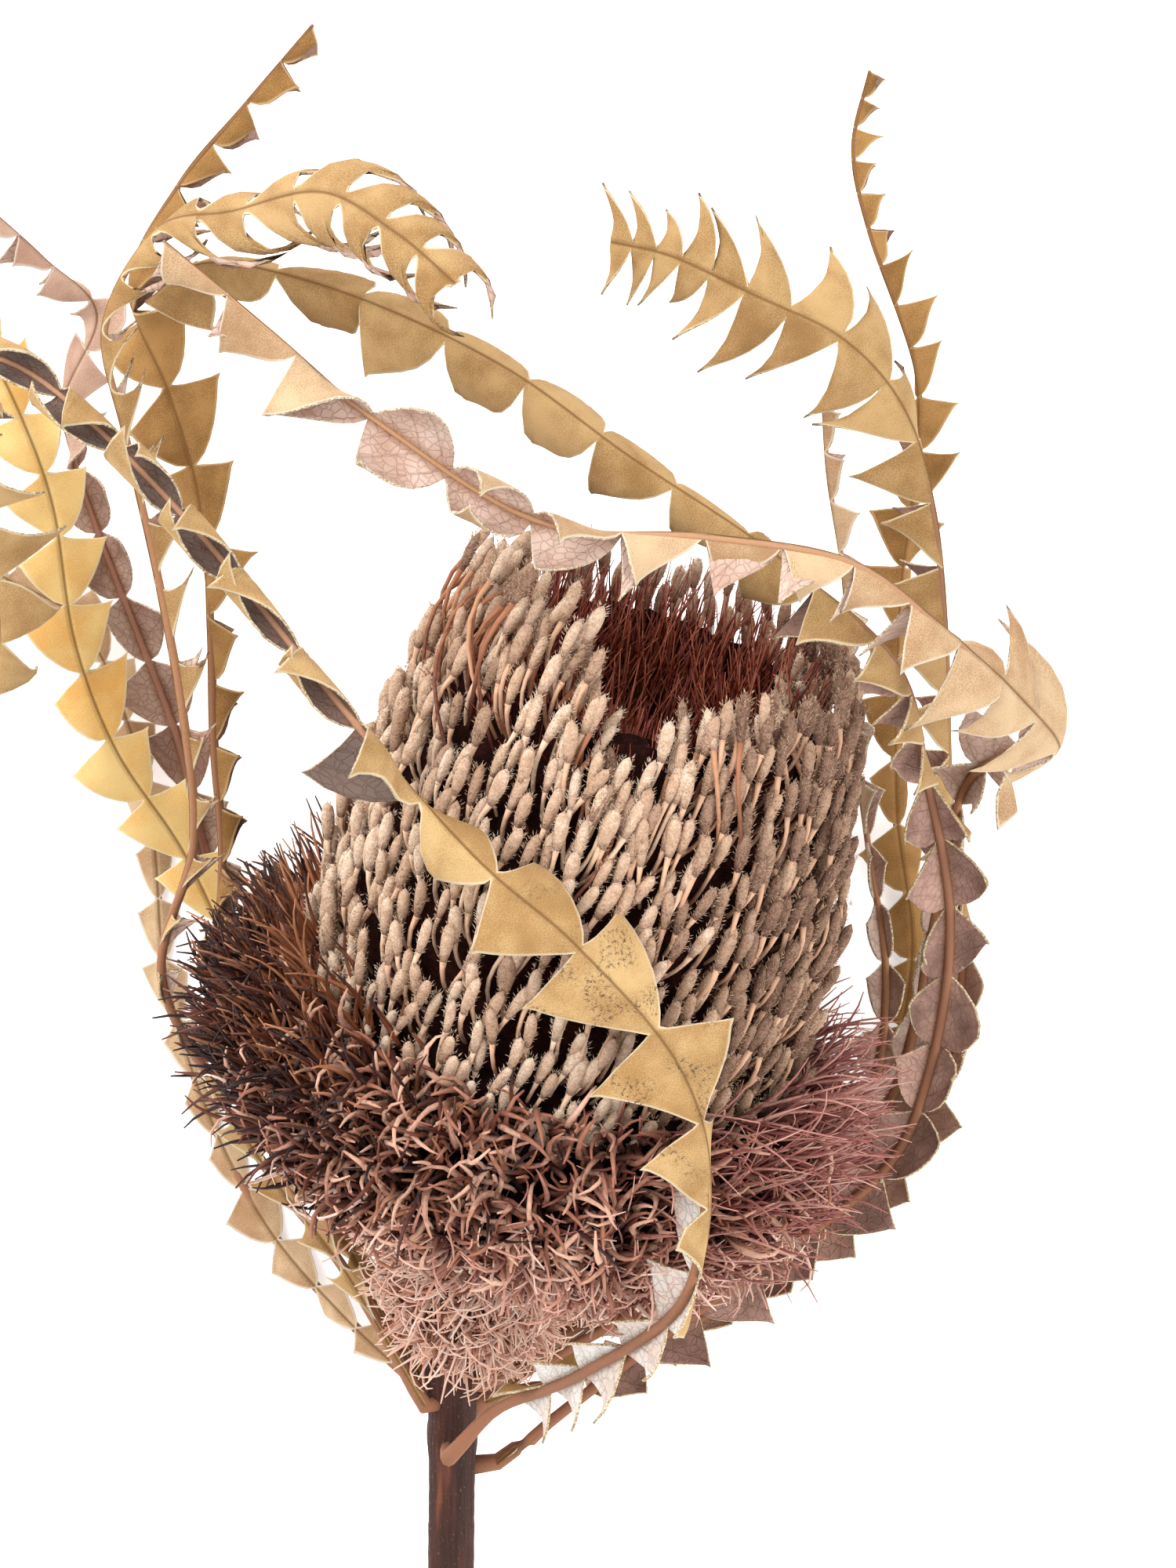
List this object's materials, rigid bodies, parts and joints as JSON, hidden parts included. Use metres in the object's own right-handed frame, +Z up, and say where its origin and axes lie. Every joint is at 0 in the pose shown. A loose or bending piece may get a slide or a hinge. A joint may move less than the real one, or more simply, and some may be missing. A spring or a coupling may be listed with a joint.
{
  "type": "dried banksia flower head with stem and leaves",
  "caption": "Dried woolly banksia flower head with a hollow crown, on its cut woody stem, with long saw-toothed leaves arching round it, lying on its side.",
  "frame": {"origin": "middle of the object's footprint on the surface it lies on", "axes": "+Z up from the surface; +Y from the stem's cut end towards the crown, along the object's length"},
  "size_m": [0.2051, 0.3109, 0.1408],
  "materials": {
    "stem_bark": "dry dark brown bark, streaked lengthways",
    "woolly_florets": "dry beige-brown wool on thin tan stalks",
    "dark_styles": "fine dry dark red-brown strands",
    "spent_strands": "dry dark brown tangled strands",
    "olive_leaf": "dry olive-tan felt above, pinkish grey felt below",
    "golden_leaf": "dry golden yellow felt",
    "pale_leaf": "dry pinkish grey felt with fine veins"
  },
  "bodies": {
    "root": {"stem": "stem_bark", "floret_barrel": "woolly_florets", "crown_styles": "dark_styles", "spent_florets": "spent_strands", "leaf_front": "olive_leaf", "leaf_arc": "olive_leaf", "leaf_crown": "olive_leaf", "leaf_fern": "olive_leaf", "leaf_spire": "olive_leaf", "leaf_edge": "olive_leaf", "leaf_outer": "olive_leaf", "leaf_golden": "golden_leaf", "leaf_tall": "olive_leaf", "leaf_curled": "olive_leaf", "leaf_pale": "pale_leaf"}
  },
  "joints": []
}
